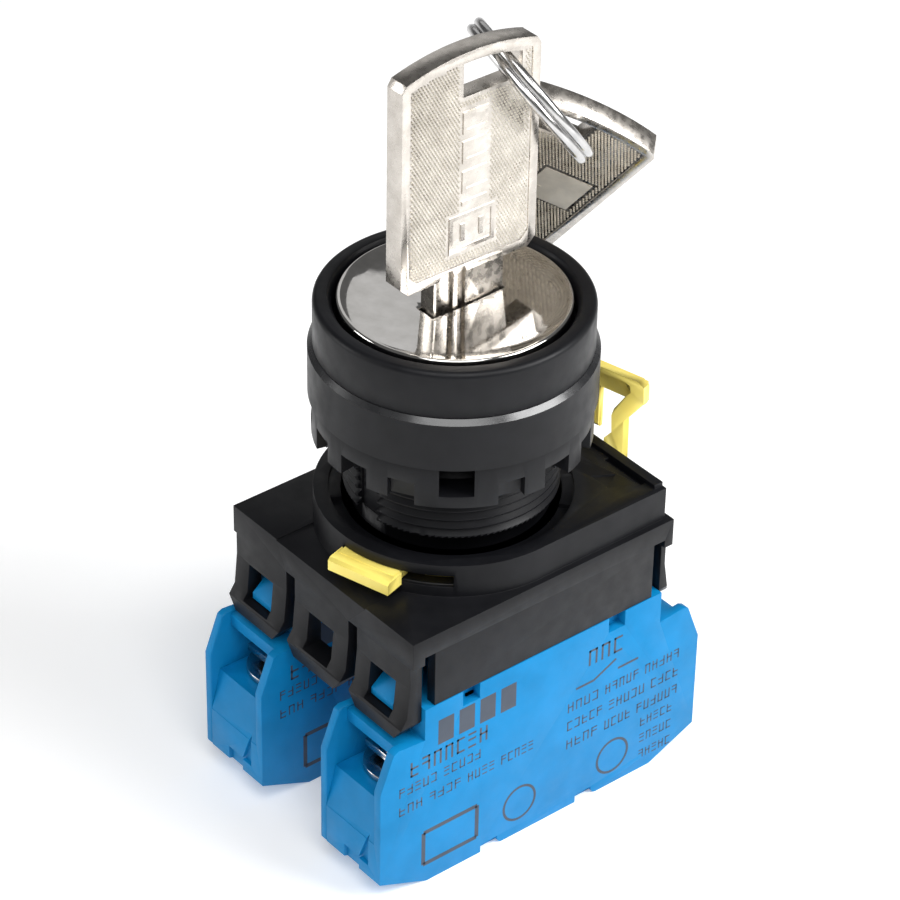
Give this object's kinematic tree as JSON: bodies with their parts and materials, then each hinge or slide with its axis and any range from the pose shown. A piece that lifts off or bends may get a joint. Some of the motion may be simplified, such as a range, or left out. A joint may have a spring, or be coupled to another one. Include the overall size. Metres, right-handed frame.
{
  "type": "selector key switch",
  "caption": "Panel-mounted key selector switch: keyed operator with ring nut, black adaptor with yellow locking lever, blue contact blocks and a spare key on a split ring.",
  "frame": {"origin": "switch axis at the panel's front face, under the flange", "axes": "+Z out of the panel towards the key, +Y towards the adaptor's TOP end, +X across the adaptor"},
  "size_m": [0.0467, 0.0454, 0.0854],
  "materials": {
    "black_plastic": "satin black moulded plastic",
    "black_rubber": "matte",
    "blue_plastic": "satin bright blue moulded plastic",
    "yellow_plastic": "satin yellow moulded plastic",
    "white_plastic": "natural acetal",
    "chrome": "mirror",
    "nickel": "nickel-plated, knurled head",
    "steel": "bright zinc-plated",
    "brass": "machined",
    "copper": "bright"
  },
  "bodies": {
    "switch_body": {"bezel": "black_plastic", "operator_housing": "black_plastic", "panel_gasket": "black_rubber", "lock_sleeve": "brass", "pusher_guide": "black_plastic", "adaptor_body": "black_plastic", "ring_retainer": "black_plastic", "left_block_housing": "blue_plastic", "left_block_cover": "blue_plastic", "left_front_contact": "steel", "left_rear_contact": "steel", "left_screws": "steel", "left_washers": "steel", "left_return_spring": "steel", "right_block_housing": "blue_plastic", "right_block_cover": "blue_plastic", "right_front_contact": "steel", "right_rear_contact": "steel", "right_screws": "steel", "right_washers": "steel", "right_return_spring": "steel"},
    "rotor": {"face_disc": "chrome", "face_seal": "black_rubber", "lock_plug": "brass", "tumbler_wafers": "brass", "wafer_springs": "steel", "retaining_clip": "steel", "cam": "white_plastic", "detent_spring": "steel"},
    "detent": {"detent_pin": "steel"},
    "key": {"key": "nickel"},
    "key_ring": {"key_ring": "steel"},
    "spare_key": {"spare_key": "nickel"},
    "nut": {"locking_nut": "black_plastic"},
    "locking_ring": {"locking_ring": "yellow_plastic"},
    "left_pusher": {"left_pusher": "white_plastic"},
    "right_pusher": {"right_pusher": "white_plastic"},
    "left_plunger": {"left_plunger": "white_plastic", "left_contact_spring": "steel"},
    "right_plunger": {"right_plunger": "white_plastic", "right_contact_spring": "steel"},
    "left_bridge": {"left_bridge": "copper"},
    "right_bridge": {"right_bridge": "copper"}
  },
  "joints": [
    {"name": "key_turn", "type": "hinge", "parent": "switch_body", "child": "rotor", "pos_m": [0, 0, 0], "axis": [0, 0, 1], "range_deg": [-45, 45]},
    {"name": "detent_slide", "type": "slide", "parent": "rotor", "child": "detent", "axis": [0, -1, 0], "range_m": [-0.00035, 0], "stiffness_N_per_m": 300, "springref_m": 0.001},
    {"name": "key_pull", "type": "slide", "parent": "rotor", "child": "key", "axis": [0, 0, 1], "range_m": [0, 0.024]},
    {"name": "ring_turn", "type": "hinge", "parent": "key", "child": "key_ring", "pos_m": [-0.00197, 0.0106, 0.02915], "axis": [-0.2374, -0.7766, -0.5835], "continuous": true},
    {"name": "spare_swing", "type": "hinge", "parent": "key", "child": "spare_key", "pos_m": [-0.00446, 0.01581, 0.02341], "axis": [0.921, 0.0111, -0.3895], "range_deg": [-5, 5]},
    {"name": "nut_turn", "type": "hinge", "parent": "switch_body", "child": "nut", "pos_m": [0, 0, -0.002], "axis": [0, 0, 1], "continuous": true},
    {"name": "lever_turn", "type": "hinge", "parent": "switch_body", "child": "locking_ring", "pos_m": [0, 0, -0.0137], "axis": [0, 0, 1], "range_deg": [0, 20]},
    {"name": "left_pusher_travel", "type": "slide", "parent": "switch_body", "child": "left_pusher", "axis": [0, 0, -1], "range_m": [0, 0.0022], "stiffness_N_per_m": 150, "springref_m": -0.001},
    {"name": "left_plunger_travel", "type": "slide", "parent": "switch_body", "child": "left_plunger", "axis": [0, 0, -1], "range_m": [0, 0.0022], "stiffness_N_per_m": 400, "springref_m": -0.001, "deforming": ["left_return_spring"]},
    {"name": "left_bridge_travel", "type": "slide", "parent": "switch_body", "child": "left_bridge", "axis": [0, 0, -1], "range_m": [0, 0.002]},
    {"name": "right_pusher_travel", "type": "slide", "parent": "switch_body", "child": "right_pusher", "axis": [0, 0, -1], "range_m": [0, 0.0022], "stiffness_N_per_m": 150, "springref_m": -0.001},
    {"name": "right_plunger_travel", "type": "slide", "parent": "switch_body", "child": "right_plunger", "axis": [0, 0, -1], "range_m": [0, 0.0022], "stiffness_N_per_m": 400, "springref_m": -0.001, "deforming": ["right_return_spring"]},
    {"name": "right_bridge_travel", "type": "slide", "parent": "switch_body", "child": "right_bridge", "axis": [0, 0, -1], "range_m": [0, 0.002]}
  ],
  "couplings": [
    {"joint": "left_plunger_travel", "follows": "left_pusher_travel", "ratio": 1},
    {"joint": "left_bridge_travel", "follows": "left_pusher_travel", "ratio": 0.9},
    {"joint": "right_plunger_travel", "follows": "right_pusher_travel", "ratio": 1},
    {"joint": "right_bridge_travel", "follows": "right_pusher_travel", "ratio": 0.9}
  ]
}
